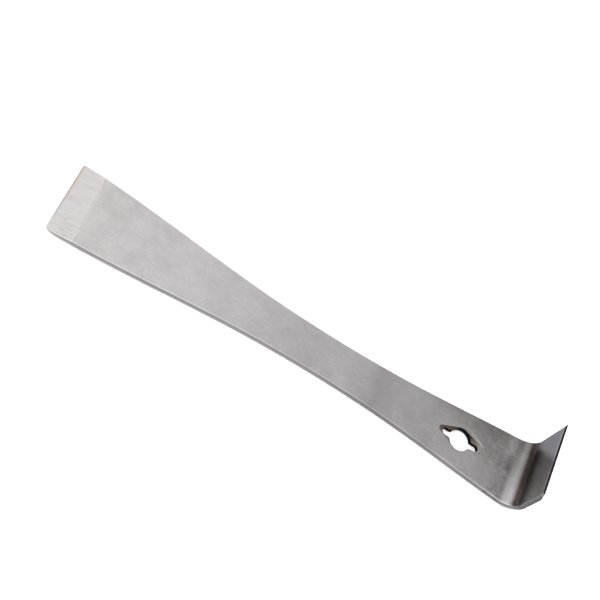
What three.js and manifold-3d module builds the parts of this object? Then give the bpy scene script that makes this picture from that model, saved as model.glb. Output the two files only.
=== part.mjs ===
// Hive tool: one bar of flat stainless steel. It is widest at a blade ground on both faces, narrow at the
// waist, pierced by a nail hole and bent up at the far end into a hook sharpened on its outer face.
// Millimetres, Z up. X runs from the blade's cutting edge to the back of the hook and Y across the bar.
// The origin is under the middle of the bar, on the plane that its flat back rests on.

import * as THREE from "three";
import { mergeVertices } from "three/addons/utils/BufferGeometryUtils.js";
import Module from "manifold-3d";

const overallLength = 254;
const thickness = 2.74;
const longEdgeRadius = 0.45;
const largestRoundedShare = 0.3;

// Half the bar's width. Distances run along the bar from the cutting edge, and on round the bend. The
// guides steer the curves of the two long flares between the blade, the waist and the hook.
const waistDistance = 140;
const waistHalfWidth = 10.9;
const bladeHalfWidth = 19.65;
const hookTipHalfWidth = 19.05;
const bladeFlareGuide = { distance: 61, halfWidth: 17.1 };
const hookFlareGuide = { distance: 225, halfWidth: 18.85 };
const waistGuideToBlade = 58;
const waistGuideToHook = 61;

// The blade: a long bevel on the upper face and a low one under it, which lifts the cutting edge. The
// bevels are ground by hand, so they are a little longer near the middle and the near side.
const cuttingEdgeThickness = 0.47;
const cuttingEdgeHeight = 1;
const bevelLength = 13.2;
const bevelSkew = -0.95;
const bevelBow = -1;
const nearCorner = { across: 1.9, along: 7.5 };
const farCorner = { across: 0.6, along: 2 };

// The hook: bent a little past square, then sharpened by a bevel on its outer face. The bar tightens
// from straight to the bend's full curve over a short length.
const insideBendRadius = 7;
const bendEasing = 5;
const bendAngle = THREE.MathUtils.degToRad(92.5);
const straightHookLength = 23.2;
const hookBevelLength = 7.8;

// The nail hole: a round eye with a narrow wing on each side, in a shallow lens-shaped countersink.
const holeDistance = 215.3;
const eyeSide = -0.35;
const eyeRadius = 5.5;
const wingHalfWidth = 1.7;
const wingTipDistance = 9.9;
const wallCornerSharpness = 12;
const countersinkDepth = 0.45;
const lensMiddleRadius = 6;
const lensTipRadius = 1.75;
const lensReachToBlade = 12.2;
const lensReachToHook = 11.3;
const lensSwing = THREE.MathUtils.degToRad(4);

const steelColour = 0xaaa8a7;
const steelRoughness = 0.45;

// How finely the curved shapes are divided.
const flarePoints = 120;
const flatColumns = 7;
const sectionRows = 4;
const barSteps = 30;
const bendSteps = 16;
const hookSteps = 3;
const hookBevelSteps = 2;
const integrationSteps = 400;
const holePoints = 96;
const holeCrowding = 0.35;
const cutterClearance = 0.3;
const mergeDistance = 1e-5;

// The bar's outline is two long flares that meet at the waist.
function makeOutline(tipDistance) {
  const flares = [
    new THREE.CubicBezierCurve(
      new THREE.Vector2(0, bladeHalfWidth),
      new THREE.Vector2(bladeFlareGuide.distance, bladeFlareGuide.halfWidth),
      new THREE.Vector2(waistDistance - waistGuideToBlade, waistHalfWidth),
      new THREE.Vector2(waistDistance, waistHalfWidth),
    ),
    new THREE.CubicBezierCurve(
      new THREE.Vector2(waistDistance, waistHalfWidth),
      new THREE.Vector2(waistDistance + waistGuideToHook, waistHalfWidth),
      new THREE.Vector2(hookFlareGuide.distance, hookFlareGuide.halfWidth),
      new THREE.Vector2(tipDistance, hookTipHalfWidth),
    ),
  ];
  return flares.flatMap((flare) => flare.getPoints(flarePoints));
}

// How far the bar has turned at a distance past the bend's start.
function turnAt(onBend) {
  const eased = onBend ** 2 / (2 * bendEasing * insideBendRadius);
  const round = (onBend - bendEasing / 2) / insideBendRadius;
  return Math.min(onBend < bendEasing ? eased : round, bendAngle);
}

// Where the upper face has got to at that distance, along X and up, by adding up short steps.
function faceAt(onBend) {
  const step = onBend / integrationSteps;
  const place = new THREE.Vector2();
  for (let index = 0; index < integrationSteps; index += 1) {
    const turn = turnAt((index + 0.5) * step);
    place.x += step * Math.cos(turn);
    place.y += step * Math.sin(turn);
  }
  return place;
}

const squareTurn = bendEasing / 2 + (insideBendRadius * Math.PI) / 2;
const bendLength = bendEasing / 2 + insideBendRadius * bendAngle;
const bendStart = overallLength - thickness - faceAt(squareTurn).x;
const bendEnd = bendStart + bendLength;
const tipDistance = bendEnd + straightHookLength;
const hookBevelStart = tipDistance - hookBevelLength;
const outline = makeOutline(tipDistance);

function halfWidthAt(distance) {
  const found = outline.findIndex((point) => point.x >= distance);
  const next = found < 0 ? outline.length - 1 : Math.max(1, found);
  const from = outline[next - 1];
  const to = outline[next];
  return THREE.MathUtils.mapLinear(distance, from.x, to.x, from.y, to.y);
}

// Half the width on the side with this blade corner, whose rounding is a quarter of an ellipse.
function cornered(distance, corner) {
  const share = Math.max(0, 1 - distance / corner.along);
  return halfWidthAt(distance) - corner.across * (1 - Math.sqrt(1 - share * share));
}

// Turns a place on the straight bar, at a height above its back face, into a place on the bent bar.
function bent(distance, across, height) {
  const onBend = Math.max(0, distance - bendStart);
  const turn = turnAt(onBend);
  const face = faceAt(onBend);
  const underFace = thickness - height;
  return new THREE.Vector3(
    Math.min(distance, bendStart) + face.x + underFace * Math.sin(turn) - overallLength / 2,
    across,
    thickness + face.y - underFace * Math.cos(turn),
  );
}

// Stations along the bar, as shares of the bevel's length on the blade and as distances after it. One
// of them is where the bar has turned square, which is the hook's furthest back.
const bladeShares = [0, 0.01, 0.03, 0.07, 0.13, 0.2, 0.3, 0.42, 0.57, 0.78, 1];

function evenSteps(from, to, count) {
  return Array.from({ length: count }, (_, step) => from + ((to - from) * (step + 1)) / count);
}

const barDistances = [
  ...evenSteps(bevelLength, bendStart, barSteps),
  ...evenSteps(bendStart, bendStart + squareTurn, bendSteps),
  bendEnd,
  ...evenSteps(bendEnd, hookBevelStart, hookSteps),
  ...evenSteps(hookBevelStart, tipDistance, hookBevelSteps),
];

// One point of the bar's cross-section grid. Its outer strips are the rounded long edges, so each
// corner point is drawn in to the rounding's middle.
function barPoint(station, column, row) {
  const side = THREE.MathUtils.clamp((2 * (column - 1)) / (flatColumns - 1) - 1, -1, 1);
  const onBlade = station < bladeShares.length;
  const bladeShare = onBlade ? bladeShares[station] : 1;
  const bevel = bevelLength + bevelSkew * side + bevelBow * side ** 2;
  const distance = onBlade ? bladeShare * bevel : barDistances[station - bladeShares.length];
  const hookShare = Math.max(0, (distance - hookBevelStart) / hookBevelLength);

  const edgeTop = cuttingEdgeHeight + cuttingEdgeThickness;
  const top = THREE.MathUtils.lerp(edgeTop, thickness, bladeShare);
  const bladeBottom = THREE.MathUtils.lerp(cuttingEdgeHeight, 0, bladeShare);
  const bottom = bladeBottom + (thickness - cuttingEdgeThickness) * hookShare;
  const rounding = Math.min(longEdgeRadius, largestRoundedShare * (top - bottom));
  const cornerInset = rounding * (1 - Math.SQRT1_2);

  const outerColumn = column === 0 || column === flatColumns + 1;
  const outerRow = row === 0 || row === sectionRows - 1;
  const near = cornered(distance, nearCorner) - rounding;
  const far = cornered(distance, farCorner) - rounding;
  const pastFlat = outerRow ? rounding - cornerInset : rounding;
  const across = THREE.MathUtils.mapLinear(side, -1, 1, -near, far) + (outerColumn ? side * pastFlat : 0);
  const outerInset = outerColumn ? cornerInset : 0;
  const fromFace = outerRow ? outerInset : rounding;
  const height = row < sectionRows / 2 ? bottom + fromFace : top - fromFace;
  return bent(distance, across, height);
}

function bentBar() {
  const lastStation = bladeShares.length + barDistances.length - 1;
  const lastColumn = flatColumns + 1;
  const lastRow = sectionRows - 1;
  const geometry = new THREE.BoxGeometry(1, 1, 1, lastStation, lastColumn, lastRow);
  const position = geometry.attributes.position;
  for (let index = 0; index < position.count; index += 1) {
    const point = barPoint(
      Math.round((position.getX(index) + 0.5) * lastStation),
      Math.round((position.getY(index) + 0.5) * lastColumn),
      Math.round((position.getZ(index) + 0.5) * lastRow),
    );
    position.setXYZ(index, point.x, point.y, point.z);
  }
  return geometry;
}

// From the countersink's centre to its rim: the outline round one large circle and two small ones. The
// end by the hook points a little towards the far side.
function lensReach(angle) {
  const swung = angle - lensSwing * Math.max(0, Math.cos(angle));
  const along = Math.abs(Math.cos(swung));
  const across = Math.abs(Math.sin(swung));
  const tipCentre = (Math.cos(swung) < 0 ? lensReachToBlade : lensReachToHook) - lensTipRadius;
  const slope = Math.asin((lensMiddleRadius - lensTipRadius) / tipCentre);
  const fromAxis = Math.atan2(across, along);
  const tipEnds = Math.atan2(lensTipRadius * Math.cos(slope), tipCentre + lensTipRadius * Math.sin(slope));
  if (fromAxis < tipEnds) {
    return tipCentre * along + Math.sqrt(lensTipRadius ** 2 - (tipCentre * across) ** 2);
  }
  return lensMiddleRadius / Math.sin(Math.min(fromAxis + slope, Math.PI / 2));
}

// From the eye's centre to the wall: the eye and the wings, softened where they join.
function wallReach(angle) {
  const along = Math.abs(Math.cos(angle));
  const across = Math.abs(Math.sin(angle));
  const tipCentre = wingTipDistance - wingHalfWidth;
  const roundTip = tipCentre * across < wingHalfWidth * along;
  const wingReach = roundTip
    ? tipCentre * along + Math.sqrt(wingHalfWidth ** 2 - (tipCentre * across) ** 2)
    : wingHalfWidth / across;
  const joined = eyeRadius ** wallCornerSharpness + wingReach ** wallCornerSharpness;
  return joined ** (1 / wallCornerSharpness);
}

// A point of the hole's outline, where level is 1 over the face, 0 at the foot of the countersink's
// slope and -1 under the back.
function holePoint(angle, level) {
  const outwards = new THREE.Vector3(Math.cos(angle), Math.sin(angle), 0);
  const centre = holeDistance - overallLength / 2;
  const wall = new THREE.Vector3(centre, eyeSide, 0).addScaledVector(outwards, wallReach(angle));
  if (level < 0) {
    return wall.setZ(-cutterClearance);
  }
  const slopeFoot = wall.setZ(thickness - countersinkDepth);
  const rim = new THREE.Vector3(centre, 0, thickness).addScaledVector(outwards, lensReach(angle));
  return level > 0 ? slopeFoot.lerp(rim, 1 + cutterClearance / countersinkDepth) : slopeFoot;
}

// The solid that cuts the nail hole. Its points are drawn together at the hole's narrow ends.
function nailHoleCutter() {
  const geometry = new THREE.CylinderGeometry(1, 1, 2, holePoints, 2).rotateX(Math.PI / 2);
  const position = geometry.attributes.position;
  for (let index = 0; index < position.count; index += 1) {
    const x = position.getX(index);
    const y = position.getY(index);
    const level = Math.round(position.getZ(index));
    const even = Math.atan2(y, x);
    const point = holePoint(even - holeCrowding * Math.sin(2 * even), level);
    const capCentre = Math.hypot(x, y) < mergeDistance;
    if (capCentre) {
      point.setX(holeDistance - overallLength / 2).setY(eyeSide);
    }
    position.setXYZ(index, point.x, point.y, point.z);
  }
  return geometry;
}

const wasm = await Module();
wasm.setup();

function solidFrom(geometry) {
  const bare = geometry.clone();
  bare.deleteAttribute("normal");
  bare.deleteAttribute("uv");
  const merged = mergeVertices(bare, mergeDistance);
  const mesh = new wasm.Mesh({
    numProp: 3,
    vertProperties: new Float32Array(merged.attributes.position.array),
    triVerts: new Uint32Array(merged.index.array),
  });
  return new wasm.Manifold(mesh);
}

function geometryFrom(solid) {
  const mesh = solid.getMesh();
  const geometry = new THREE.BufferGeometry();
  geometry.setAttribute("position", new THREE.BufferAttribute(mesh.vertProperties, 3));
  geometry.setIndex(new THREE.BufferAttribute(mesh.triVerts, 1));
  geometry.computeVertexNormals();
  return geometry;
}

const pierced = solidFrom(bentBar()).subtract(solidFrom(nailHoleCutter()));
const satinSteel = new THREE.MeshStandardMaterial({
  color: steelColour,
  roughness: steelRoughness,
  metalness: 1,
});

const bar = new THREE.Mesh(geometryFrom(pierced), satinSteel);
bar.name = "steel_bar";

const hiveTool = new THREE.Group();
hiveTool.add(bar);

export default hiveTool;
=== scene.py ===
"""Looks of the hive tool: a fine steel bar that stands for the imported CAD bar, its satin steel, a pale
floor, soft studio light and the camera. Shapes are worked out in millimetres and stored in metres, in the
CAD model's frame. A "straight place" is a point of the bar before its hook is bent up: its distance along the
bar from the blade's cutting edge, its place across the bar (the near side is negative) and its height over
the flat back."""

import math

import bmesh
import bpy
import numpy as np
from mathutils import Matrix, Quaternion, Vector


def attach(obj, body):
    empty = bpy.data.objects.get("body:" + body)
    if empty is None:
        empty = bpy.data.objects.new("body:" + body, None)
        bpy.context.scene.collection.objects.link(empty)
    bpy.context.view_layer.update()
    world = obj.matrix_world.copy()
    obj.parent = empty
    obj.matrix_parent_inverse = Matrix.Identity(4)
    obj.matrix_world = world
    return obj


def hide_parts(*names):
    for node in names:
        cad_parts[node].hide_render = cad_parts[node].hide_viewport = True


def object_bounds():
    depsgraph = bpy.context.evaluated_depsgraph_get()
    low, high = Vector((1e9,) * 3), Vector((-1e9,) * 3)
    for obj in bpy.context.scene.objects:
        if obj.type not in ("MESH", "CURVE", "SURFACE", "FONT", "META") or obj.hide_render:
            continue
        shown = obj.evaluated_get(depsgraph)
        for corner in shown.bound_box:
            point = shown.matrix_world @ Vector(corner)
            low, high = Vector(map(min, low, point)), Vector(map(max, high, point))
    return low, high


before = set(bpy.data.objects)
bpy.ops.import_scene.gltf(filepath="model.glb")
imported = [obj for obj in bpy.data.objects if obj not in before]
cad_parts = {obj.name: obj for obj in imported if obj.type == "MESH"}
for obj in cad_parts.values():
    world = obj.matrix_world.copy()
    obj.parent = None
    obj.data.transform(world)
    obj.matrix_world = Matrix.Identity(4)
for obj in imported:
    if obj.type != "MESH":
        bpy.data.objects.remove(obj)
cad_low, cad_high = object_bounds()

MM = 0.001
NODE = "steel_bar"
BODY = "root"

# ------------------------------------------------------------------ sizes of the bar, in millimetres
OVERALL_LENGTH = 254.0
THICKNESS = 2.74
LONG_EDGE_RADIUS = 0.45  # how far the long edges' rounding reaches down the sides
LONG_EDGE_REACH = 1.0  # and how far it reaches over the faces
LARGEST_ROUNDED_SHARE = 0.3  # of the bar's thickness, where the bar gets thin
BACK_ROUNDING = [  # how much of that rounding the back face's edges have, along the bar
    (70, 1.0), (110, 0.6), (185, 0.6), (205, 0.85), (245, 0.85), (253, 0.25),
]

SIDE_GAP = 0.007  # how far the sides stay inside the CAD bar's
WAIST_DISTANCE = 140.0
WAIST_HALF_WIDTH = 10.9
BLADE_HALF_WIDTH = 19.65
HOOK_TIP_HALF_WIDTH = 19.05
BLADE_FLARE_GUIDE = (61.0, 17.1)  # where each flare is drawn towards: along the bar, and half its width there
HOOK_FLARE_GUIDE = (225.0, 18.85)
WAIST_GUIDE_TO_BLADE = 58.0  # how far the waist's pull reaches towards the blade
WAIST_GUIDE_TO_HOOK = 61.0

CUTTING_EDGE_THICKNESS = 0.47
CUTTING_EDGE_HEIGHT = 1.0  # how far the blade's edge is over the plane of the back
BEVEL_LENGTH = 13.2  # at the middle of the blade
BEVEL_SKEW = -0.95  # how much longer it is at the far edge
BEVEL_BOW = -1.0  # and at both edges
NEAR_CORNER = (1.9, 7.5)  # what the corner's rounding takes off across the bar and along it
FAR_CORNER = (0.6, 2.0)

INSIDE_BEND_RADIUS = 7.0
BEND_EASING = 5.0  # how far the bar takes to tighten from straight to the bend's full curve
BEND_ANGLE = math.radians(92.5)
STRAIGHT_HOOK_LENGTH = 23.2
HOOK_BEVEL_LENGTH = 7.8
HOOK_TIP_LEAN = 0.25  # how much further the hook's inner face reaches than its outer one

HOLE_DISTANCE = 215.3
HOLE_SIDE = -0.35  # how far the eye is from the bar's middle line, where the countersink is
EYE_RADIUS = 5.5
WING_HALF_WIDTH = 1.7
WING_TIP_DISTANCE = 9.9
WALL_SHARPNESS = 12  # of the corners between the eye and its wings
SMALLEST_SINE = 1e-9  # keeps a division in the wall's outline off zero
COUNTERSINK_DEPTH = 0.45
LENS_MIDDLE_RADIUS = 6.0
LENS_TIP_RADIUS = 1.75
LENS_REACHES = (12.2, 11.3)  # towards the blade and towards the hook
LENS_SWING = math.radians(4)  # its end by the hook points a little towards the far side
RIM_ROUNDING = 0.3
GROOVE_REACHES = (1.2, 1.0, 0.85, 0.7)  # from the rim to the edges and the floor of a fine pressed groove
GROOVE_DEPTH = 0.05
GROOVE_SIDE = math.radians(25)  # deepest towards here, and gone a quarter turn away
WALL_TOP_ROUNDING = 0.15
WALL_BOTTOM_ROUNDING = 0.2

# The upper face as seen from the side: how far each of many points is past the start of the bend, how far the
# face has turned there, and where that takes it.
BEND_POINTS = 5001
PAST_TIP = 1.0
BEND_LENGTH = INSIDE_BEND_RADIUS * BEND_ANGLE + BEND_EASING / 2
ON_BEND = np.linspace(0, BEND_LENGTH + STRAIGHT_HOOK_LENGTH + PAST_TIP, BEND_POINTS)
EASED_TURN = ON_BEND**2 / (2 * BEND_EASING * INSIDE_BEND_RADIUS)
ROUND_TURN = (ON_BEND - BEND_EASING / 2) / INSIDE_BEND_RADIUS
BEND_TURN = np.minimum(np.where(ON_BEND < BEND_EASING, EASED_TURN, ROUND_TURN), BEND_ANGLE)
STEP_TURN = (BEND_TURN[1:] + BEND_TURN[:-1]) / 2
BEND_X, BEND_Z = (
    np.concatenate([[0], np.cumsum(way(STEP_TURN))]) * ON_BEND[1] for way in (np.cos, np.sin)
)

BEND_START = OVERALL_LENGTH - THICKNESS - np.interp(math.pi / 2, BEND_TURN, BEND_X)
BEND_END = BEND_START + BEND_LENGTH
TIP_DISTANCE = BEND_END + STRAIGHT_HOOK_LENGTH
HOOK_BEVEL_START = TIP_DISTANCE - HOOK_BEVEL_LENGTH
AFTER_BEVEL = 20.0  # from here on a station runs straight across the bar
WINDOW = (197.0, 233.4)  # the stretch whose faces are laid out in rings round the nail hole


# ------------------------------------------------------------------ the bar's outline and bend
def bezier(points, count=200):
    """Points along the cubic curve with these four control points."""
    t = np.linspace(0, 1, count)[:, None]
    a, b, c, d = np.array(points, float)
    return (1 - t) ** 3 * a + 3 * t * (1 - t) ** 2 * b + 3 * t**2 * (1 - t) * c + t**3 * d


BLADE_FLARE = bezier([
    (0, BLADE_HALF_WIDTH),
    BLADE_FLARE_GUIDE,
    (WAIST_DISTANCE - WAIST_GUIDE_TO_BLADE, WAIST_HALF_WIDTH),
    (WAIST_DISTANCE, WAIST_HALF_WIDTH),
])
HOOK_FLARE = bezier([
    (WAIST_DISTANCE, WAIST_HALF_WIDTH),
    (WAIST_DISTANCE + WAIST_GUIDE_TO_HOOK, WAIST_HALF_WIDTH),
    HOOK_FLARE_GUIDE,
    (TIP_DISTANCE, HOOK_TIP_HALF_WIDTH),
])
OUTLINE = np.concatenate([BLADE_FLARE, HOOK_FLARE[1:]])


def half_width(distance, corner):
    """Half the bar's width on the side with this blade corner, which a quarter of an ellipse rounds off."""
    across, along = corner
    share = np.clip(1 - distance / along, 0, 1)
    outline = np.interp(distance, OUTLINE[:, 0], OUTLINE[:, 1]) - SIDE_GAP
    return outline - across * (1 - np.sqrt(1 - share**2))


def bevel_length(side):
    """Length of the blade's bevel, where side is -1 at the near edge and 1 at the far one."""
    return BEVEL_LENGTH + BEVEL_SKEW * side + BEVEL_BOW * side**2


def distance_at(station, side):
    """Distance along the bar. Stations 0 to 1 cross the bevel, 1 to 2 take up its skew, and later ones are a
    millimetre apart."""
    bevel = bevel_length(side)
    on_bevel = bevel * np.clip(station, 0, 1)
    settling = (AFTER_BEVEL - bevel) * np.clip(station - 1, 0, 1)
    return on_bevel + settling + np.maximum(station - 2, 0)


def station_at(distance):
    """The station at a distance past the bevel."""
    return distance - AFTER_BEVEL + 2


def skin(station, side, out, level, rise):
    """Straight places of skin points. Four numbers give a point's place in the bar's cross-section: side,
    from -1 to 1 across the flat; out, how far past the flat's end, in edge roundings; level, 1 at the upper
    face and 0 at the back; and rise, the height over that level's rounding centre, in edge roundings."""
    distance = distance_at(station, side)
    hook_share = np.clip((distance - HOOK_BEVEL_START) / HOOK_BEVEL_LENGTH, 0, 1)
    ground_away = 1 - np.clip(station, 0, 1)
    top = THICKNESS - (THICKNESS - CUTTING_EDGE_HEIGHT - CUTTING_EDGE_THICKNESS) * ground_away
    bottom = CUTTING_EDGE_HEIGHT * ground_away + (THICKNESS - CUTTING_EDGE_THICKNESS) * hook_share
    rounding = np.minimum(LONG_EDGE_RADIUS, LARGEST_ROUNDED_SHARE * (top - bottom))
    on_back = np.interp(distance, *zip(*BACK_ROUNDING))
    low, high = bottom + rounding * on_back, top - rounding
    rounding = rounding * (on_back + (1 - on_back) * level)
    height = low + (high - low) * level + rounding * rise
    reach = rounding * LONG_EDGE_REACH / LONG_EDGE_RADIUS
    near, far = half_width(distance, NEAR_CORNER) - reach, half_width(distance, FAR_CORNER) - reach
    across = -near + (near + far) * (side + 1) / 2 + reach * out * side
    lean = HOOK_TIP_LEAN * hook_share * (top - height) / (top - bottom)
    return np.stack(np.broadcast_arrays(distance - lean, across, height), -1)


def bend(places):
    """Turns straight places into places on the bent bar."""
    distance, across, height = np.moveaxis(places, -1, 0)
    on_bend = distance - BEND_START
    turned = np.interp(on_bend, ON_BEND, BEND_TURN)
    under_face = THICKNESS - height
    x = np.minimum(distance, BEND_START) + np.interp(on_bend, ON_BEND, BEND_X) + under_face * np.sin(turned)
    z = THICKNESS + np.interp(on_bend, ON_BEND, BEND_Z) - under_face * np.cos(turned)
    return np.stack([x - OVERALL_LENGTH / 2, across, z], -1)


# ------------------------------------------------------------------ stations along the bar, points round it
EDGE_STEPS = 6  # round one edge's rounding
WALL_STEPS = 3  # and down the side between two
CORNER_STEPS = 10
CORNER_END = 0.3  # up to here the stations crowd towards the cutting edge, where the corners are rounded
BEVEL_GAP = 0.02  # the stations beside the end of the blade's bevel are this near to it
HOOK_BEVEL_GAP = 0.1  # and those beside the start of the hook's bevel, in millimetres
EDGE_STRIP = 0.015  # width of the flats' outermost strips, as a share of half the flat
INNER_SIDES = 1 - EDGE_STRIP / 2  # all sides but the outermost are within this


def chain(*stretches):
    """Values through stretches of (start, end, step), each end shared with the next start."""
    parts = [np.linspace(a, b, max(1, round((b - a) / step)) + 1)[:-1] for a, b, step in stretches]
    return np.concatenate([*parts, [stretches[-1][1]]])


STATIONS = np.concatenate([
    CORNER_END * np.linspace(0, 1, CORNER_STEPS + 1)[:-1] ** 2,
    chain(
        (CORNER_END, 1 - BEVEL_GAP, 0.05),
        (1 - BEVEL_GAP, 1, BEVEL_GAP),
        (1, 1 + BEVEL_GAP, BEVEL_GAP),
        (1 + BEVEL_GAP, 2, 0.14),
    ),
    station_at(chain(
        (AFTER_BEVEL, WINDOW[0], 1.6),
        (*WINDOW, 0.8),
        (WINDOW[1], BEND_START, 1.2),
        (BEND_START, BEND_END, 0.28),
        (BEND_END, HOOK_BEVEL_START - HOOK_BEVEL_GAP, 1.2),
        (HOOK_BEVEL_START - HOOK_BEVEL_GAP, HOOK_BEVEL_START + HOOK_BEVEL_GAP, HOOK_BEVEL_GAP),
        (HOOK_BEVEL_START + HOOK_BEVEL_GAP, TIP_DISTANCE, 0.7),
    ))[1:],
])
FLAT_SIDES = chain(
    (-1, EDGE_STRIP - 1, EDGE_STRIP),
    (EDGE_STRIP - 1, 1 - EDGE_STRIP, 0.038),
    (1 - EDGE_STRIP, 1, EDGE_STRIP),
)


def edge_arc():
    """(out, level, rise) from the upper face's flat, round one long edge of the bar, to the back's flat."""
    turn = np.radians(np.linspace(90, 0, EDGE_STEPS + 1))
    upper = np.stack([np.cos(turn), np.ones_like(turn), np.sin(turn)], -1)
    wall = [(1, level, 0) for level in np.linspace(1, 0, WALL_STEPS + 1)[1:-1]]
    lower = upper[::-1] * (1, 0, -1)
    return np.concatenate([upper, wall, lower])


def round_the_bar():
    """(side, out, level, rise) of the points round the bar, from the upper face's near end."""
    arc = edge_arc()
    flats = np.ones_like(FLAT_SIDES)
    upper = np.stack([FLAT_SIDES, 0 * flats, flats, flats], -1)
    back = np.stack([FLAT_SIDES[::-1], 0 * flats, 0 * flats, -flats], -1)
    inner = arc[1:-1]
    far = np.column_stack([np.ones(len(inner)), inner])
    near = np.column_stack([-np.ones(len(inner)), inner[::-1]])
    return np.concatenate([upper, far, back, near])


# ------------------------------------------------------------------ the nail hole's outlines and rings
RIM_STEPS = 4  # round the rim's rounding
WALL_EDGE_STEPS = 3  # and round each of the wall's
GROOVE_PROFILE = (0, 1, 1, 0)  # how much of the groove's depth is at each of its reaches
SLOPE_RINGS = (0.05, 0.35, 0.65, 0.95)  # where rings lie down the slope
WALL_RINGS = (0.08, 0.5, 0.92)  # and down the wall
SLOPE_START = len(GROOVE_REACHES) + RIM_STEPS - 1  # the ring, on the rim's rounding, where the slope starts
WALL_START = len(GROOVE_REACHES) + RIM_STEPS + 1 + len(SLOPE_RINGS)  # and where the wall does


def lens_reach(angle):
    """From the hole's centre to the countersink's rim, which wraps a large circle and two small ones."""
    angle = angle - LENS_SWING * np.maximum(0, np.cos(angle))
    along, across = np.abs(np.cos(angle)), np.abs(np.sin(angle))
    tip_centre = np.where(np.cos(angle) < 0, *LENS_REACHES) - LENS_TIP_RADIUS
    slope = np.arcsin((LENS_MIDDLE_RADIUS - LENS_TIP_RADIUS) / tip_centre)
    from_axis = np.arctan2(across, along)
    tip_ends = np.arctan2(LENS_TIP_RADIUS * np.cos(slope), tip_centre + LENS_TIP_RADIUS * np.sin(slope))
    tip = tip_centre * along + np.sqrt(np.maximum(0, LENS_TIP_RADIUS**2 - (tip_centre * across) ** 2))
    flank = LENS_MIDDLE_RADIUS / np.sin(np.minimum(from_axis + slope, math.pi / 2))
    return np.where(from_axis < tip_ends, tip, flank)


def wall_reach(angle):
    """From the hole's centre to its wall: the eye and the wings, softened where they join."""
    along, across = np.abs(np.cos(angle)), np.maximum(np.abs(np.sin(angle)), SMALLEST_SINE)
    tip_centre = WING_TIP_DISTANCE - WING_HALF_WIDTH
    tip = tip_centre * along + np.sqrt(np.maximum(0, WING_HALF_WIDTH**2 - (tip_centre * across) ** 2))
    wing = np.where(tip_centre * across < WING_HALF_WIDTH * along, tip, WING_HALF_WIDTH / across)
    return (EYE_RADIUS**WALL_SHARPNESS + wing**WALL_SHARPNESS) ** (1 / WALL_SHARPNESS)


def soften(before, corner, after, steps):
    """A small curve from before to after that rounds the corner between them."""
    shares = np.linspace(0, 1, steps + 1)
    return [(1 - t) ** 2 * before + 2 * t * (1 - t) * corner + t**2 * after for t in shares]


def hole_rings(angle):
    """Rings of straight places from the upper face down the countersink and the wall to the back face."""
    outwards = np.stack([np.cos(angle), np.sin(angle), np.zeros_like(angle)], -1)
    upwards = np.array([0, 0, 1])
    rim = (HOLE_DISTANCE, 0, THICKNESS) + lens_reach(angle)[:, None] * outwards
    foot = (HOLE_DISTANCE, HOLE_SIDE, 0) + wall_reach(angle)[:, None] * outwards
    ledge = foot + (THICKNESS - COUNTERSINK_DEPTH) * upwards
    down_slope = (ledge - rim) / np.linalg.norm(ledge - rim, axis=1, keepdims=True)
    depth = GROOVE_DEPTH * np.maximum(0, np.cos(angle - GROOVE_SIDE))[:, None]
    groove = zip(GROOVE_REACHES, GROOVE_PROFILE)
    rings = [rim + reach * outwards - share * depth * upwards for reach, share in groove]
    rings += soften(rim + RIM_ROUNDING * outwards, rim, rim + RIM_ROUNDING * down_slope, RIM_STEPS)
    slope_start, slope_end = rings[-1], ledge - WALL_TOP_ROUNDING * down_slope
    rings += [slope_start + (slope_end - slope_start) * share for share in SLOPE_RINGS]
    rings += soften(slope_end, ledge, ledge - WALL_TOP_ROUNDING * upwards, WALL_EDGE_STEPS)
    wall_start, wall_end = rings[-1], foot + WALL_BOTTOM_ROUNDING * upwards
    rings += [wall_start + (wall_end - wall_start) * share for share in WALL_RINGS]
    rings += soften(wall_end, foot, foot + WALL_BOTTOM_ROUNDING * outwards, WALL_EDGE_STEPS)
    return np.array(rings)


# ------------------------------------------------------------------ patches: grids of straight places
# What the material reads at each point, besides its straight place: 1 where the steel is ground, a number
# that grows down the nail hole, and how far round an edge the point is.
MARKS = ("ground", "hole", "edge")
MERGE_DISTANCE = 5e-7
SHARP_ANGLE = math.radians(42)


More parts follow.
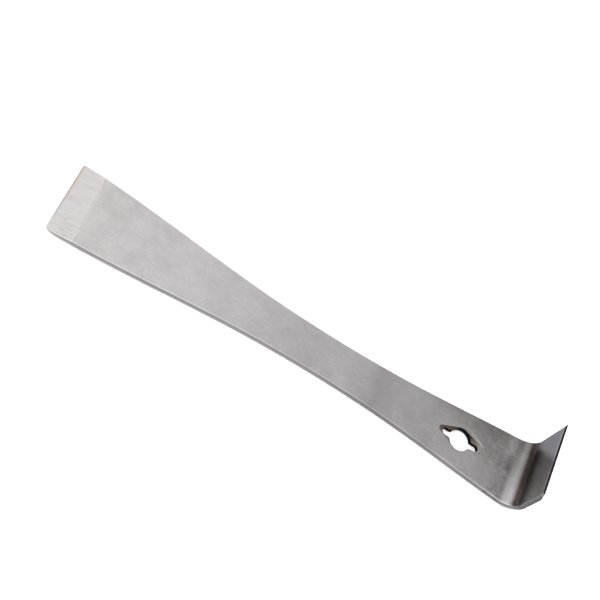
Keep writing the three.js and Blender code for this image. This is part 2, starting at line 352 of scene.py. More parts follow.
class Skin:
    """Collects patches, which are grids of straight places with their marks, and joins them into one mesh."""

    def __init__(self):
        self.places, self.marks, self.quads, self.count = [], [], [], 0

    def add(self, places, ground=0.0, hole=0.0, edge=0.0, closed=False, skip=None):
        """Adds a grid of places. A closed grid joins its last column to its first, and skip is true for the
        quads that are left out."""
        rows, columns = places.shape[:2]
        index = self.count + np.arange(rows * columns).reshape(rows, columns)
        if closed:
            index = np.column_stack([index, index[:, 0]])
        quads = np.stack([index[:-1, :-1], index[1:, :-1], index[1:, 1:], index[:-1, 1:]], -1)
        keep = np.ones(quads.shape[:2], bool) if skip is None else ~skip
        marks = [np.broadcast_to(mark, (rows, columns)) for mark in (ground, hole, edge)]
        self.places.append(places.reshape(-1, 3))
        self.marks.append(np.stack(marks, -1).reshape(-1, len(MARKS)))
        self.quads.append(quads[keep])
        self.count += rows * columns

    def mesh(self, name):
        """One closed mesh of all patches, bent and in metres, shaded smooth except across its sharp edges."""
        places, marks = np.concatenate(self.places), np.concatenate(self.marks)
        made = bpy.data.meshes.new(name)
        made.from_pydata((bend(places) * MM).tolist(), [], np.concatenate(self.quads).tolist())
        straight = made.attributes.new("straight_place", "FLOAT_VECTOR", "POINT")
        straight.data.foreach_set("vector", (places * MM).astype(np.float32).ravel())
        for column, mark in enumerate(MARKS):
            layer = made.attributes.new(mark, "FLOAT", "POINT")
            layer.data.foreach_set("value", marks[:, column].astype(np.float32))
        work = bmesh.new()
        work.from_mesh(made)
        bmesh.ops.remove_doubles(work, verts=work.verts, dist=MERGE_DISTANCE)
        bmesh.ops.delete(work, geom=[v for v in work.verts if not v.link_faces], context="VERTS")
        bmesh.ops.recalc_face_normals(work, faces=work.faces)
        for face in work.faces:
            face.smooth = True
        for line in work.edges:
            line.smooth = line.calc_face_angle(0) < SHARP_ANGLE
        work.to_mesh(made)
        work.free()
        return made


# ------------------------------------------------------------------ the bar's mesh
NEARLY = 0.01  # stations closer than this count as one
STAIN_SIDE = math.radians(105)  # the countersink's slope is stained most towards here, and hardly opposite
STAIN_CONTRAST = 1.2  # how steeply the stain changes between those sides
CLEAN_SLOPE = 0.3  # the hole mark on the slope; it is 1 on the wall and 0 outside
STAINED_SLOPE = 0.7
DEEP_STAIN = 0.1  # what is added to it towards one side
DEEP_STAIN_SIDE = math.radians(40)
ANGLE_CROWDING = 0.35  # draws the hole's points together at its narrow ends
RINGS_ROUND_HOLE = 12


def make_bar():
    """The whole bar as one mesh: its skin, the two cutting edges, and rings round the nail hole and in it."""
    bar = Skin()
    side, out, level, rise = round_the_bar().T
    station = STATIONS[:, None]
    distance = distance_at(station, side)
    upper, back = (level == 1) & (rise == 1), (level == 0) & (rise == -1)
    ground = ((upper | back) & (station <= 1)) | (back & (distance >= HOOK_BEVEL_START))
    edge = 2 * out * np.abs(rise)  # 1 half way round each rounding, and 0 on the faces and the sides

    first, last = (station_at(end) for end in WINDOW)
    in_window = (STATIONS[:-1] > first - NEARLY) & (STATIONS[:-1] < last - NEARLY)
    inner = np.abs(side) < INNER_SIDES
    flat_quad = (upper & np.roll(upper, -1)) | (back & np.roll(back, -1))
    flat_quad &= inner & np.roll(inner, -1)
    around = skin(station, side, out, level, rise)
    bar.add(around, ground=ground, edge=edge, closed=True, skip=in_window[:, None] & flat_quad)

    arc_out, arc_level, arc_rise = (values[:, None] for values in edge_arc().T)
    for end in (STATIONS[0], STATIONS[-1]):
        bar.add(skin(end, FLAT_SIDES, arc_out, arc_level, arc_rise), edge=1.0)

    rim_stations = STATIONS[(STATIONS > first - NEARLY) & (STATIONS < last + NEARLY)]
    rim_sides = FLAT_SIDES[np.abs(FLAT_SIDES) < INNER_SIDES]
    # Once round the window's outline, from the end by the hook: stations and sides.
    walk = [(rim_stations[-1], value) for value in rim_sides[:-1]]
    walk += [(value, rim_sides[-1]) for value in rim_stations[:0:-1]]
    walk += [(rim_stations[0], value) for value in rim_sides[:0:-1]]
    walk += [(value, rim_sides[0]) for value in rim_stations[:-1]]
    walk_station, walk_side = np.array(walk).T
    face_edge = skin(walk_station, walk_side, 0, 1, 1)
    back_edge = skin(walk_station, walk_side, 0, 0, -1)
    even = np.unwrap(np.arctan2(face_edge[:, 1], face_edge[:, 0] - HOLE_DISTANCE))
    angle = even - ANGLE_CROWDING * np.sin(2 * even)
    rings = hole_rings(angle)
    stained = np.clip(0.5 + STAIN_CONTRAST * np.cos(angle - STAIN_SIDE), 0, 1)
    deep = DEEP_STAIN * np.maximum(0, np.cos(angle - DEEP_STAIN_SIDE))
    slope = CLEAN_SLOPE + (STAINED_SLOPE - CLEAN_SLOPE) * stained + deep
    ring = np.arange(len(rings))[:, None] * np.ones_like(angle)
    stretches = [ring < SLOPE_START, ring < WALL_START, ring < len(rings) - WALL_EDGE_STEPS]
    in_hole = np.select(stretches, [0, slope, 1], 0)
    bar.add(rings, hole=in_hole, closed=True)
    shares = np.linspace(0, 1, RINGS_ROUND_HOLE + 1)[:, None, None]
    bar.add(face_edge + (rings[0] - face_edge) * shares, closed=True)
    bar.add(back_edge + (rings[-1] - back_edge) * shares, closed=True)
    return bar.mesh("steel_bar_fine")


GRAIN_MAP = "grain"


def lay_grain_map(mesh):
    """A UV map whose U runs along the bar, which turns the brushed grain with the bend."""
    layer = mesh.uv_layers.new(name=GRAIN_MAP)
    corners = np.empty(len(mesh.loops), np.int32)
    mesh.loops.foreach_get("vertex_index", corners)
    straight = np.empty(len(mesh.vertices) * 3, np.float32)
    mesh.attributes["straight_place"].data.foreach_get("vector", straight)
    along, across, height = straight.reshape(-1, 3)[corners].T
    layer.data.foreach_set("uv", np.stack([along, across + height], -1).ravel() / (OVERALL_LENGTH * MM))


# ------------------------------------------------------------------ node helpers
def node(tree, kind, values=None, **settings):
    """A node with its settings; values are what its inputs hold, or the sockets that feed them."""
    made = tree.nodes.new(kind)
    for name, value in settings.items():
        setattr(made, name, value)
    for name, value in (values or {}).items():
        if isinstance(value, bpy.types.NodeSocket):
            tree.links.new(value, made.inputs[name])
        else:
            made.inputs[name].default_value = value
    return made


def maths(tree, operation, first, second=0.0):
    """One step of arithmetic."""
    return node(tree, "ShaderNodeMath", {0: first, 1: second}, operation=operation).outputs[0]


def product(tree, *factors):
    """All the values multiplied together."""
    total = factors[0]
    for factor in factors[1:]:
        total = maths(tree, "MULTIPLY", total, factor)
    return total


def spread(tree, value, low, high, to_low=0.0, to_high=1.0, kind="LINEAR"):
    """Maps a value from one range to another, and holds it there."""
    inputs = {"Value": value, "From Min": low, "From Max": high, "To Min": to_low, "To Max": to_high}
    return node(tree, "ShaderNodeMapRange", inputs, interpolation_type=kind).outputs[0]


def fade(tree, value, start, end):
    """0 at the start, 1 at the end, and smooth between them."""
    if start > end:
        return spread(tree, value, end, start, 1.0, 0.0, "SMOOTHSTEP")
    return spread(tree, value, start, end, kind="SMOOTHSTEP")


def ramp(tree, value, stops, low=0.0, high=1.0):
    """A grey or coloured ramp through stops of (value, what it shows), for values from low to high."""
    share = spread(tree, value, low, high)
    made = node(tree, "ShaderNodeValToRGB", {0: share})
    elements = made.color_ramp.elements
    while len(elements) < len(stops):
        elements.new(0.5)
    for element, (at, shown) in zip(elements, stops):
        element.position = (at - low) / (high - low)
        element.color = (shown, shown, shown, 1) if isinstance(shown, (int, float)) else (*shown, 1)
    return made.outputs[0]


def mix(tree, factor, under, over, mode="MIX"):
    """Mixes two colours, each a colour or a socket."""
    made = node(tree, "ShaderNodeMix", data_type="RGBA", blend_type=mode)
    for socket, value in ((made.inputs[0], factor), (made.inputs[6], under), (made.inputs[7], over)):
        if isinstance(value, bpy.types.NodeSocket):
            tree.links.new(value, socket)
        else:
            socket.default_value = value if isinstance(value, float) else (*value, 1)
    return made.outputs[2]


def noise(tree, place, grain, detail=2.0, roughness=0.5):
    """Noise from 0 to 1, whose grains have these sizes in millimetres along, across and through the bar."""
    scale = [1 / (size * MM) for size in grain]
    stretched = node(tree, "ShaderNodeVectorMath", {0: place, 1: scale}, operation="MULTIPLY").outputs[0]
    values = {"Vector": stretched, "Scale": 1.0, "Detail": detail, "Roughness": roughness}
    return node(tree, "ShaderNodeTexNoise", values).outputs["Fac"]


# ------------------------------------------------------------------ satin steel
# Places on the bar are in millimetres: "along" it from the blade's cutting edge, "across" it from its middle
# line, where the near side is negative, and "height" over its flat back. A shade is what the steel's colour
# is multiplied by. A region is a list of (axis, start, end): it fades in from each start to its end.
STEEL = (0.515, 0.515, 0.513)
GROUND_STEEL = (0.59, 0.582, 0.569)
TINTS = ((1.0, 0.958, 0.944), (0.956, 0.96, 1.0))  # the steel's colour wanders between these
PIT = (0.3, 0.29, 0.27)
NICK = (0.09, 0.085, 0.08)
DARK_LINE = (0.3, 0.29, 0.3)
BURNT_STEEL = (0.56, 0.42, 0.36)
HOOK_EDGE_BROWN = (0.022, 0.009, 0.009)
HOOK_EDGE_BLUE = (0.004, 0.007, 0.012)
HOOK_EDGE_GLINT = (0.14, 0.17, 0.21)  # a painted glint on the cutting edge itself, towards its near end

CLOUD_GRAIN = (11, 9, 9)  # sizes of the noises' grains along the bar, across it and through it
MOTTLE_GRAIN = (2.4, 2.0, 2.0)
TINT_GRAIN = (3.0, 2.6, 2.6)
WAVE_GRAIN = (3.5, 3.0, 3.0)
BRUSHING_GRAIN = (9, 0.35, 0.35)
GRINDING_GRAIN = (16, 1.2, 1.2)
SPECK_GRAIN = (0.9, 0.8, 0.8)
GRINDING_TILT = math.radians(-9)
NOISE_MIDDLE = (0.3, 0.7)  # most of a noise lies between these
NOISE_ENDS = (0.25, 0.75)  # and almost all of it between these
PIT_SPECKS = (0.6, 0.68)  # the specks' noise at which pits start to show, and show in full
NICK_SPECKS = (0.48, 0.54)  # and nicks

RAMP_ALONG = (0, 300)  # what the ramps along the bar span
RAMP_ACROSS = (-20, 20)  # and those across it
FACE_PAINTED_LIGHT = [  # painted light and shade along the faces, with some uneven polish
    (0, (1.035, 1.025, 1.02)), (12, (1.05, 1.035, 1.03)), (20, (1.115, 1.1, 1.098)),
    (50, (1.135, 1.12, 1.125)), (65, 1.08), (80, 1.03), (95, 1.0), (112, 0.98), (124, 0.93), (134, 0.93),
    (150, 1.05), (161, 1.0), (168, 0.85), (181, 1.05), (200, 1.03), (210, 1.17), (222, 1.26), (232, 1.29),
    (238, 1.66), (242, 2.5), (245.5, 1.4), (249.5, 1.42), (252, 1.02),
]
SIDE_PAINTED_LIGHT = [  # painted light and shade along the sides
    (10, 1.0), (30, 1.04), (60, 1.08), (90, 1.14), (120, 1.08), (140, 1.02), (168, 0.8), (180, 0.78),
    (200, 0.83), (220, 0.95), (232, 1.06), (242, 0.98), (246, 1.08), (250, 1.2), (254, 0.68), (262, 0.66),
    (270, 0.7),
]
CREASE_PAINTED_SHADE = [  # painted shade and a brown tint: the bend's inside and the hook's inner face are darker and browner than the bar
    (248.2, (1.0, 1.0, 1.0)), (249.8, (1.0, 0.93, 0.91)), (251.2, (0.8, 0.66, 0.63)),
    (252.6, (0.4, 0.325, 0.315)), (254.6, (0.28, 0.235, 0.235)), (257.5, (0.42, 0.39, 0.385)),
    (262.0, (0.5, 0.48, 0.475)), (270.0, (0.54, 0.52, 0.52)), (279.0, (0.64, 0.63, 0.64)),
]
BEND_PAINTED_SHADE = [(-16, 1.0), (-8, 0.78), (0, 0.57), (8, 0.58), (16, 0.52)]  # painted shade across the bend, lightest on the near side
HOOK_PAINTED_SHADE = [(-16, 1.02), (-8, 0.72), (0, 0.52), (8, 0.46), (16, 0.43)]  # painted shade across the hook's inner face, also lightest on the near side
TIP_PAINTED_SHADE = [(-16, 0.74), (0, 0.76), (6, 1.0)]  # painted shade: its near half is darker towards the cutting edge
# painted shade on the near rims and a painted highlight on the far rims by the hole
NEAR_RIM_PAINTED_SHADE = (0.87, 0.87, 0.87)
FAR_RIM_PAINTED_HIGHLIGHT = (1.5, 1.5, 1.52)
HOOK_EDGE_PAINTED_HIGHLIGHT = (1.7, 1.58, 1.58)  # painted highlight: the hook gets brighter just inside its edge
BLOT_SHADE = (0.82, 0.81, 0.81)
BLOT = (242.2, -0.5)  # a faint dark blot on the face: where it is along and across the bar
BLOT_RADIUS = 3.2
GRINDING_STREAKS = [(0.3, 0.9), (0.65, 1.0)]  # shades, by the grinding's noise
DULL_SPOTS = [(0.5, 0.93), (0.66, 0.72)]  # and by the specks', in the line beside the bevel
HOLE_COLOURS = [  # by the hole mark: grey steel, the slope's brown stain, and painted near-black shade on the wall
    (0.0, (0.48, 0.47, 0.475)), (0.3, (0.46, 0.45, 0.45)), (0.7, (0.138, 0.103, 0.08)),
    (0.85, (0.012, 0.008, 0.009)), (1.0, (0.012, 0.008, 0.009)),
]
STAIN_MARK = (0.0, 0.25)  # the hole mark between which the stain fades in
WALL_MARK = (0.75, 0.85)  # and the dull wall

UNEVENNESS = [  # how blotchy the polish is along the bar
    (0, 0.3), (13, 0.3), (18, 1.0), (50, 1.0), (65, 0.6), (150, 0.6), (200, 0.72), (232, 0.95),
]
DARKEST_CLOUD = 0.8
DARKEST_MOTTLE = 0.83
DARKEST_BRUSHING = 0.87
MOTTLING = 0.6  # the mottle's strength, as a share of the unevenness
BRUSHING = 0.5
MORE_MOTTLING = 0.6  # what is added to both by the hook
MORE_BRUSHING = 0.5
PIT_STRENGTH = 0.6
NICK_STRENGTH = 0.75
BURNT_STRENGTH = 0.55
DARK_LINE_STRENGTH = 0.8

BY_HOOK = [("along", 215, 232)]
BEND_FACE = [("along", 239, 247.5)]
CREASE_FACE = [("along", 246, 252)]
HOOK_FACE = [("along", 251, 253)]
TIP_FACE = [("along", 261, 271)]
SHINING = [("along", TIP_DISTANCE - 4.2, TIP_DISTANCE - 2.5)]  # the painted highlight, a bright line along the hook's edge
INKED = [("along", TIP_DISTANCE - 2.05, TIP_DISTANCE - 1.45)]  # and the dark one
# where the cutting edge's painted glint fades in
GLINTING = [("across", 4, -12)]
# where the rims' painted shade and painted highlight lie
NEAR_RIM = [("height", 1.4, 1.8), ("across", 0, -5)]
FAR_RIM = [("height", 1.4, 1.8), ("across", 0, 5), ("along", 160, 185), ("along", 232, 212)]
PITTED = [("across", -5, -9), ("along", 3, 5)]
NICKED = [
    ("along", 233, 234.5), ("along", 244, 242), ("across", -16, -16.6),
    ("height", 0.9, 1.3), ("height", 2.72, 2.5),
]
BURNT = [("along", 1.8, 0.9), ("across", -7, 6)]
DARKENED = [("along", 0.9, 0.3), ("across", -16, -6)]
BEVEL_LINE_START = (-0.15, 0.25)  # how far past the bevel the dull line fades in
BEVEL_LINE_END = (1.0, 0.45)  # and out
BEVEL_LINE_WANDER = 0.25
BEVEL_LINE_FADE = (4, 17, 1.0, 0.6)  # between the first two places across the bar, it weakens from 1 to 0.6

SATIN_ROUGHNESS = (0.2, 0.27)
CLOUD_ROUGHNESS = (-0.02, 0.03)  # this and the rest are added to it
EDGE_ROUGHNESS = -0.05
GROUND_ROUGHNESS = 0.08
CREASE_ROUGHNESS = 0.06
HOLE_ROUGHNESS = 0.25
WALL_ROUGHNESS = 0.35
INK_ROUGHNESS = (0.5, 0.15)  # on the hook's inner face, and at its cutting edge
GRAIN_STRENGTH = 0.35
WAVE_RELIEF = (0.6, 0.05)  # strengths and depths
BRUSHING_RELIEF = (0.25, 0.004)
GRINDING_RELIEF = (0.4, 0.02)


class Steel:
    """The nodes of the bar's material: satin stainless steel with painted light and shade, ground bevels and
    a stained nail hole.
    """

    def __init__(self):
        self.material = bpy.data.materials.new("satin_steel")
        self.material.use_nodes = True
        self.tree = self.material.node_tree
        self.shader = self.tree.nodes["Principled BSDF"]
        self.place = self.attribute("straight_place", "Vector")
        self.ground, self.hole, self.edge = (self.attribute(name, "Fac") for name in MARKS)
        parts = node(self.tree, "ShaderNodeSeparateXYZ", {0: self.place}).outputs
        self.along, self.across, self.height = (maths(self.tree, "DIVIDE", part, MM) for part in parts)
        self.axes = {"along": self.along, "across": self.across, "height": self.height}
        self.on_face = spread(self.tree, self.height, THICKNESS - LONG_EDGE_RADIUS, THICKNESS)
        self.in_hole = spread(self.tree, self.hole, *STAIN_MARK)
        self.make_noises()
        self.paint()
        self.set_gloss()
        self.roughen()

    def attribute(self, name, output):
        """What the mesh stores under this name."""
        return node(self.tree, "ShaderNodeAttribute", attribute_name=name).outputs[output]

    def make_noises(self):
        """The noises that everything uneven on the bar comes from."""
        tree, place = self.tree, self.place
        self.clouds = noise(tree, place, CLOUD_GRAIN, detail=3.0, roughness=0.65)
        self.mottle = noise(tree, place, MOTTLE_GRAIN, detail=3.0, roughness=0.6)
        self.tinting = noise(tree, place, TINT_GRAIN)
        self.waves = noise(tree, place, WAVE_GRAIN, detail=1.0)
        self.brushing = noise(tree, place, BRUSHING_GRAIN, detail=3.0, roughness=0.6)
        turn = {"Vector": place, "Angle": GRINDING_TILT}
        tilted = node(tree, "ShaderNodeVectorRotate", turn, rotation_type="Z_AXIS").outputs[0]
        self.grinding = noise(tree, tilted, GRINDING_GRAIN, detail=4.0, roughness=0.55)
        self.specks = noise(tree, place, SPECK_GRAIN, detail=1.0)

    def within(self, region):
        """1 in a region and 0 outside."""
        fades = [fade(self.tree, self.axes[axis], start, end) for axis, start, end in region]
        return product(self.tree, *fades)

    def on_hook(self, region):
        """1 in a region of the hook's inner face and 0 outside."""
        off_bevel = maths(self.tree, "SUBTRACT", 1.0, self.ground)
        return product(self.tree, off_bevel, self.within(region))

    def times(self, colour, factor):
        """A colour multiplied by a shade."""
        return mix(self.tree, 1.0, colour, factor, "MULTIPLY")

    def shade(self, where, colour, factor):
        """A colour that is multiplied by a shade in some places."""
        return mix(self.tree, where, colour, self.times(colour, factor))

    def vary(self, colour, strength, grains, darkest):
        """Darkens a colour by a noise, down to the darkest at full strength."""
        shade = ramp(self.tree, grains, list(zip(NOISE_ENDS, (darkest, 1.0))))
        return self.times(colour, mix(self.tree, strength, (1.0, 1.0, 1.0), shade))

    def paint(self):
        """The steel's colour: its polish, painted light and shade, the marks on it, the hook's edge and the
        nail hole.
        """
        steel = self.polish()
        steel = self.wear(steel)
        steel = self.colour_hook_edge(steel)
        # the hole's colours, with painted near-black shade on its wall
        hole = ramp(self.tree, self.hole, HOLE_COLOURS)
        self.tree.links.new(mix(self.tree, self.in_hole, steel, hole), self.shader.inputs["Base Color"])

    def polish(self):
        """The steel as it was ground and polished and uneven, with painted light and shade along the bar, on
        its rims and in the bend.
        """
        tree = self.tree
        steel = mix(tree, self.ground, STEEL, GROUND_STEEL)
        uneven = ramp(tree, self.along, UNEVENNESS, *RAMP_ALONG)
        by_hook = self.within(BY_HOOK)
        more_mottling = product(tree, by_hook, MORE_MOTTLING)
        mottling = maths(tree, "ADD", product(tree, uneven, MOTTLING), more_mottling)
        brushing = maths(tree, "ADD", BRUSHING, product(tree, by_hook, MORE_BRUSHING))
        steel = self.vary(steel, uneven, self.clouds, DARKEST_CLOUD)
        steel = self.vary(steel, mottling, self.mottle, DARKEST_MOTTLE)
        steel = self.vary(steel, brushing, self.brushing, DARKEST_BRUSHING)
        steel = self.times(steel, mix(tree, spread(tree, self.tinting, *NOISE_MIDDLE), *TINTS))
        # painted light and shade along the faces and along the sides
        face_painted_light = ramp(tree, self.along, FACE_PAINTED_LIGHT, *RAMP_ALONG)
        side_painted_light = ramp(tree, self.along, SIDE_PAINTED_LIGHT, *RAMP_ALONG)
        steel = self.times(steel, mix(tree, self.on_face, side_painted_light, face_painted_light))
        # painted shade on the near rims, painted highlight on the far rims
        steel = self.shade(product(tree, self.edge, self.within(NEAR_RIM)), steel, NEAR_RIM_PAINTED_SHADE)
        steel = self.shade(product(tree, self.edge, self.within(FAR_RIM)), steel, FAR_RIM_PAINTED_HIGHLIGHT)
        steel = self.shade(self.blot(), steel, BLOT_SHADE)
        # painted shade, with a brown tint, in the bend and on the hook's inner face
        steel = self.shade(self.on_face, steel, self.crease_painted_shade())
        return self.shade(self.ground, steel, ramp(tree, self.grinding, GRINDING_STREAKS))

    def wear(self, steel):
        """Small pits and nicks, a dull line beside the blade's bevel, and lines along its cutting edge."""
        tree = self.tree
        pits = spread(tree, self.specks, *PIT_SPECKS)
        nicks = spread(tree, self.specks, *NICK_SPECKS)
        steel = mix(tree, product(tree, self.ground, self.within(PITTED), pits, PIT_STRENGTH), steel, PIT)
        steel = mix(tree, product(tree, self.within(NICKED), nicks, NICK_STRENGTH), steel, NICK)
        steel = self.shade(self.bevel_line(), steel, ramp(tree, self.specks, DULL_SPOTS))
        steel = mix(tree, product(tree, self.within(BURNT), BURNT_STRENGTH), steel, BURNT_STEEL)
        return mix(tree, product(tree, self.within(DARKENED), DARK_LINE_STRENGTH), steel, DARK_LINE)

    def colour_hook_edge(self, steel):
        """A dark line along the hook's cutting edge, with a painted highlight beside it and a painted glint
        on the cutting edge.
        """
        tree = self.tree
        # painted highlight just inside the hook's edge
        steel = self.shade(self.on_hook(SHINING), steel, HOOK_EDGE_PAINTED_HIGHLIGHT)
        # painted glint on the cutting edge, towards its near end
        cutting_edge = mix(tree, self.within(GLINTING), HOOK_EDGE_BLUE, HOOK_EDGE_GLINT)
        ink = mix(tree, self.edge, HOOK_EDGE_BROWN, cutting_edge)
        return mix(tree, self.on_hook(INKED), steel, ink)

    def blot(self):
        """A soft round blot on the face by the bend."""
        centre = [*(value * MM for value in BLOT), THICKNESS * MM]
        distance = node(self.tree, "ShaderNodeVectorMath", {0: self.place, 1: centre}, operation="DISTANCE")
        return fade(self.tree, distance.outputs["Value"], BLOT_RADIUS * MM, 0.0)

    def crease_painted_shade(self):
        """The painted shade, with its brown tint, of the inside of the bend and of the hook's inner face."""
        tree = self.tree
        along = ramp(tree, self.along, CREASE_PAINTED_SHADE, *RAMP_ALONG)
        bend_painted_shade = ramp(tree, self.across, BEND_PAINTED_SHADE, *RAMP_ACROSS)
        hook_painted_shade = ramp(tree, self.across, HOOK_PAINTED_SHADE, *RAMP_ACROSS)
        tip_painted_shade = ramp(tree, self.across, TIP_PAINTED_SHADE, *RAMP_ACROSS)
        across = mix(tree, self.within(BEND_FACE), (1.0, 1.0, 1.0), bend_painted_shade)
        across = mix(tree, self.within(HOOK_FACE), across, hook_painted_shade)
        across = self.shade(self.within(TIP_FACE), across, tip_painted_shade)
        return self.times(along, across)

    def bevel_line(self):
        """Where a thin dull line lies, on the bar's side of the blade's bevel."""
        tree = self.tree
        lengths = (bevel_length(side) for side in (-1, 1))
        start = spread(tree, self.across, -BLADE_HALF_WIDTH, BLADE_HALF_WIDTH, *lengths)
        wander = spread(tree, self.mottle, *NOISE_MIDDLE, -BEVEL_LINE_WANDER, BEVEL_LINE_WANDER)
        past = maths(tree, "ADD", maths(tree, "SUBTRACT", self.along, start), wander)
        line = product(tree, fade(tree, past, *BEVEL_LINE_START), fade(tree, past, *BEVEL_LINE_END))
        return product(tree, line, spread(tree, self.across, *BEVEL_LINE_FADE), self.on_face)

    def set_gloss(self):
        """How rough the steel is, and which way its fine grain runs."""
        tree = self.tree
        rough = spread(tree, self.mottle, *NOISE_MIDDLE, *SATIN_ROUGHNESS)
        additions = [
            spread(tree, self.clouds, *NOISE_MIDDLE, *CLOUD_ROUGHNESS),
            product(tree, self.edge, EDGE_ROUGHNESS),
            product(tree, self.ground, GROUND_ROUGHNESS),
            product(tree, self.within(CREASE_FACE), self.on_face, CREASE_ROUGHNESS),
            product(tree, self.in_hole, HOLE_ROUGHNESS),
            spread(tree, self.hole, *WALL_MARK, 0.0, WALL_ROUGHNESS),
            product(tree, self.on_hook(INKED), spread(tree, self.edge, 0.0, 1.0, *INK_ROUGHNESS)),
        ]
        for addition in additions:
            rough = maths(tree, "ADD", rough, addition)
        tree.links.new(rough, self.shader.inputs["Roughness"])
        tangent = node(tree, "ShaderNodeTangent", direction_type="UV_MAP", uv_map=GRAIN_MAP).outputs[0]
        tree.links.new(tangent, self.shader.inputs["Tangent"])
        self.shader.inputs["Metallic"].default_value = 1.0
        self.shader.inputs["Anisotropic"].default_value = GRAIN_STRENGTH

    def relief(self, height, strength, depth, under=None):
        """A bump of this depth, over the relief under it."""
        values = {"Height": height, "Strength": strength, "Distance": depth * MM}
        if under is not None:
            values["Normal"] = under
        return node(self.tree, "ShaderNodeBump", values).outputs[0]

    def roughen(self):
        """Fine relief: faint waves and brushing everywhere, and deeper grinding on the bevels."""
        waves = self.relief(self.waves, *WAVE_RELIEF)
        fine = self.relief(self.brushing, *BRUSHING_RELIEF, waves)
        deep = self.relief(product(self.tree, self.grinding, self.ground), *GRINDING_RELIEF, fine)
        self.tree.links.new(deep, self.shader.inputs["Normal"])


# ------------------------------------------------------------------ studio light
# Places in the studio are parts of a direction from the bar, from -1 to 1.
LIGHT_ALONG = [  # how bright the studio is from -X to +X
    (-1.0, 0.8), (-0.8, 1.0), (-0.5, 1.2), (-0.15, 0.98), (0.03, 1.0), (0.1, 0.95), (0.142, 0.83),
    (0.21, 0.79), (0.3, 0.78), (0.36, 0.73), (1.0, 0.4),
]
LIGHT_ACROSS = [  # and from -Y to +Y
    (-1.0, 0.37), (-0.5, 0.45), (-0.3, 0.9), (-0.15, 1.25), (0.1, 1.2), (0.38, 0.78), (0.52, 0.74),
    (0.65, 0.82), (0.75, 1.1), (0.9, 1.7), (1.0, 2.0),
]
LIGHT_UP = [(0.0, 0.3), (0.3, 0.5), (0.5, 0.72), (0.7, 0.92), (0.85, 1.0)]  # and from the horizon upwards
LIGHT_STRENGTH = 1.66
HORIZON = (-0.05, 0.05)  # heights between which the floor's bounce gives way to the lights
BOUNCE_FRONT = [(0.0, 0.92), (0.15, 0.8), (0.2, 0.71), (0.27, 0.6), (0.5, 0.43)]  # off the floor, by X
BOUNCE_BACK = (1.15, 1.17, 1.28)  # and off the floor behind the bar
BOUNCE_TURN = (-0.2, 0.2)  # Y between which the front's bounce gives way to the back's
GAP_DIRECTION = (-0.86, 0.51, 0.0)  # towards a dark gap low down between the soft lights
GAP_SIDES = (0.75, 0.93)  # cosines of the angles from there at which the gap starts and is full
GAP_TOP = (0.34, 0.12)  # and heights
GAP_FOOT = (-0.35, -0.15)
GAP_COLOUR = (0.12, 0.09, 0.085)
BACKDROP = (0.96, 0.96, 0.96, 1)


def light_studio():
    """A soft studio as reflections see it, and a plain pale backdrop as the camera sees it."""
    world = bpy.data.worlds.new("studio")
    world.use_nodes = True
    bpy.context.scene.world = world
    tree = world.node_tree
    tree.nodes.clear()
    direction = node(tree, "ShaderNodeTexCoord").outputs["Generated"]
    x, y, z = node(tree, "ShaderNodeSeparateXYZ", {0: direction}).outputs
    sky = ramp(tree, x, LIGHT_ALONG, -1.0, 1.0)
    sky = mix(tree, 1.0, sky, ramp(tree, y, LIGHT_ACROSS, -1.0, 1.0), "MULTIPLY")
    sky = mix(tree, 1.0, sky, ramp(tree, z, LIGHT_UP), "MULTIPLY")
    sky = mix(tree, 1.0, sky, (LIGHT_STRENGTH,) * 3, "MULTIPLY")
    bounce = mix(tree, fade(tree, y, *BOUNCE_TURN), ramp(tree, x, BOUNCE_FRONT), BOUNCE_BACK)
    around = mix(tree, fade(tree, z, *HORIZON), bounce, sky)
    directions = {0: direction, 1: GAP_DIRECTION}
    toward_gap = node(tree, "ShaderNodeVectorMath", directions, operation="DOT_PRODUCT").outputs["Value"]
    gap = product(tree, fade(tree, toward_gap, *GAP_SIDES), fade(tree, z, *GAP_TOP), fade(tree, z, *GAP_FOOT))
    around = mix(tree, gap, around, GAP_COLOUR)
    soft = node(tree, "ShaderNodeBackground", {"Color": around})
    plain = node(tree, "ShaderNodeBackground", {"Color": BACKDROP})
    seen = node(tree, "ShaderNodeLightPath").outputs["Is Camera Ray"]
    mixed = node(tree, "ShaderNodeMixShader", {0: seen, 1: soft.outputs[0], 2: plain.outputs[0]})
    node(tree, "ShaderNodeOutputWorld", {"Surface": mixed.outputs[0]})


FLOOR_LIGHT_STRENGTH = 2.9
FLOOR_LIGHT_SPREAD = math.radians(178)


def light_floor():
    """A wide overhead lamp that brightens the floor without showing in the steel."""
    data = bpy.data.lights.new("floor_light", "SUN")
    data.energy = FLOOR_LIGHT_STRENGTH
    data.angle = FLOOR_LIGHT_SPREAD
    lamp = bpy.data.objects.new("floor_light", data)
    lamp.visible_glossy = False
    bpy.context.scene.collection.objects.link(lamp)


# ------------------------------------------------------------------ the dark card and the floor
def flat_square(name, low, high, height):
    """A level rectangle, in millimetres, that is part of the stage."""
    corners = [(low[0], low[1]), (high[0], low[1]), (high[0], high[1]), (low[0], high[1])]
    made = bpy.data.meshes.new(name)
    made.from_pydata([(x * MM, y * MM, height * MM) for x, y in corners], [], [(0, 1, 2, 3)])
    square = bpy.data.objects.new(name, made)
    bpy.context.scene.collection.objects.link(square)
    made.materials.append(bpy.data.materials.new(name))
    made.materials[0].use_nodes = True
    return square, made.materials[0].node_tree


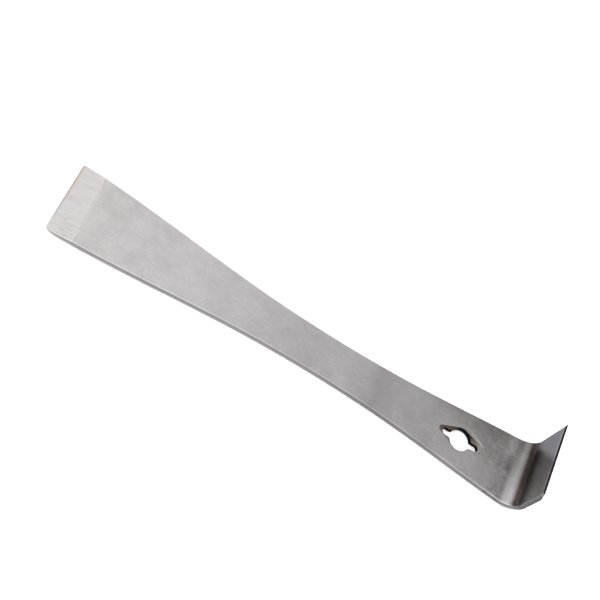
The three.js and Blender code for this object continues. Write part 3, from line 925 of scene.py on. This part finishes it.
CARD_LOW = (-40, -40)  # two of its corners; all the card's sizes are in millimetres
CARD_HIGH = (220, 160)
CARD_HEIGHT = 50.0  # over the back's plane
CARD_COLOUR = (0.05, 0.038, 0.034)
CARD_SLANT = 0.6  # its dense part starts nearer to the front, the further it is along the bar
THIN_START = (-30, 130)  # X between which the thin part fades in
THIN_COVER = 0.36  # how much of the light it takes
DENSE_START = (30, 90)  # X between which the dense part fades in
DENSE_FRONT = (90, 118)  # and slanted Y
DENSE_COVER = 0.45
DENSE_END = (115, 140, 1.0, 0.8)  # X between which it gets a little thinner
CARD_RIGHT = (215, 160)  # where the card's edges fade in
CARD_BACK = (155, 100)
CARD_FRONT = (-38, 0)


def hang_dark_card():
    """A graded dark card above the hook's far side. Only reflections see it: it shades the hook and the steel
    beside it, more towards the far side."""
    card, tree = flat_square("dark_card", CARD_LOW, CARD_HIGH, CARD_HEIGHT)
    tree.nodes.remove(tree.nodes["Principled BSDF"])
    place = node(tree, "ShaderNodeNewGeometry").outputs["Position"]
    parts = node(tree, "ShaderNodeSeparateXYZ", {0: place}).outputs
    x, y, _ = (maths(tree, "DIVIDE", part, MM) for part in parts)
    slanted = maths(tree, "ADD", y, product(tree, x, CARD_SLANT))
    thin = product(tree, fade(tree, x, *THIN_START), THIN_COVER)
    dense = product(tree, fade(tree, slanted, *DENSE_FRONT), fade(tree, x, *DENSE_START), DENSE_COVER)
    dense = product(tree, dense, spread(tree, x, *DENSE_END))
    edges = product(tree, fade(tree, x, *CARD_RIGHT), fade(tree, y, *CARD_BACK), fade(tree, y, *CARD_FRONT))
    cover = product(tree, maths(tree, "ADD", thin, dense), edges)
    let_through = mix(tree, cover, (1.0, 1.0, 1.0), CARD_COLOUR)
    see_through = node(tree, "ShaderNodeBsdfTransparent", {0: let_through}).outputs[0]
    tree.links.new(see_through, tree.nodes["Material Output"].inputs[0])
    card.visible_camera = card.visible_diffuse = card.visible_shadow = False


FLOOR_GAP = 0.1  # how far the floor stays under the bar's back, in millimetres
FLOOR_REACH = 12 * OVERALL_LENGTH
FLOOR_COLOUR = (0.9, 0.9, 0.9, 1)


def lay_floor():
    """A wide pale floor under the bar's flat back."""
    near, far = (-FLOOR_REACH, -FLOOR_REACH), (FLOOR_REACH, FLOOR_REACH)
    floor, tree = flat_square("floor", near, far, cad_low.z / MM - FLOOR_GAP)
    floor.visible_glossy = False
    shader = tree.nodes["Principled BSDF"]
    shader.inputs["Base Color"].default_value = FLOOR_COLOUR
    shader.inputs["Roughness"].default_value = 1.0
    shader.inputs["Specular IOR Level"].default_value = 0.0


# ------------------------------------------------------------------ camera
CAMERA_AZIMUTH = math.radians(-18.58)  # 0 looks along +Y and 90 along -X
CAMERA_ELEVATION = math.radians(56.52)
CAMERA_ROLL = math.radians(47.59)
CAMERA_DISTANCE = 668.8
CAMERA_TARGET = Vector((-9.761, 20.05, 0.0))
FOCAL_LENGTH = 85.81
SENSOR_WIDTH = 36.0
CAMERA_REACH = (0.01, 20.0)  # metres


def place_camera():
    """Looks down on the bar from its near side, turned so that the bar lies along the picture's diagonal."""
    data = bpy.data.cameras.new("camera")
    data.lens = FOCAL_LENGTH
    data.sensor_width = SENSOR_WIDTH
    data.clip_start, data.clip_end = CAMERA_REACH
    camera = bpy.data.objects.new("camera", data)
    bpy.context.scene.collection.objects.link(camera)
    level = math.cos(CAMERA_ELEVATION)
    x, y = math.sin(CAMERA_AZIMUTH) * level, -math.cos(CAMERA_AZIMUTH) * level
    back = Vector((x, y, math.sin(CAMERA_ELEVATION)))
    camera.location = (CAMERA_TARGET + back * CAMERA_DISTANCE) * MM
    camera.rotation_mode = "QUATERNION"
    camera.rotation_quaternion = Quaternion(back, CAMERA_ROLL) @ (-back).to_track_quat("-Z", "Y")
    bpy.context.scene.camera = camera


# ------------------------------------------------------------------ the scene
place_camera()
bar_mesh = make_bar()
lay_grain_map(bar_mesh)
bar_mesh.materials.append(Steel().material)
bar = bpy.data.objects.new("steel_bar_fine", bar_mesh)
bpy.context.scene.collection.objects.link(bar)
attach(bar, BODY)
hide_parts(NODE)
light_studio()
light_floor()
lay_floor()
hang_dark_card()
bpy.context.scene.view_settings.view_transform = "Standard"
